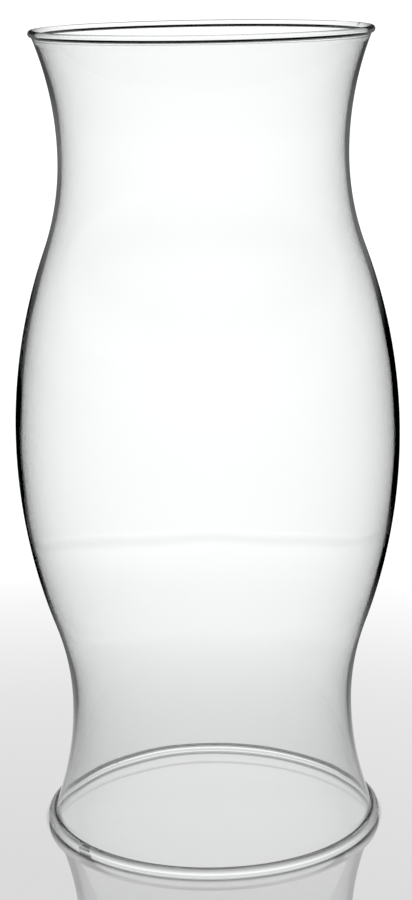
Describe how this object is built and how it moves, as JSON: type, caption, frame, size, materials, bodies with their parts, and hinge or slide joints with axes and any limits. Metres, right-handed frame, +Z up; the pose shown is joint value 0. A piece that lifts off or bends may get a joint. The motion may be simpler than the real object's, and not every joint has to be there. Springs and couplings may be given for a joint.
{
  "type": "hurricane lamp globe",
  "caption": "Blown glass lamp globe, open at both ends, with a flared bell top, a neck, a round belly, a waist and a flared foot, that shelters a candle or lamp flame from draughts.",
  "frame": {"origin": "on the centre line of the globe, on the flat ring of the foot that meets the table", "axes": "+Z up along the centre line, from the foot to the top rim; the globe is round, so X and Y are free"},
  "size_m": [0.145, 0.145, 0.305],
  "materials": {
    "clear_glass": "clear, fire-polished, faintly uneven"
  },
  "bodies": {
    "root": {"glass_globe": "clear_glass"}
  },
  "joints": []
}
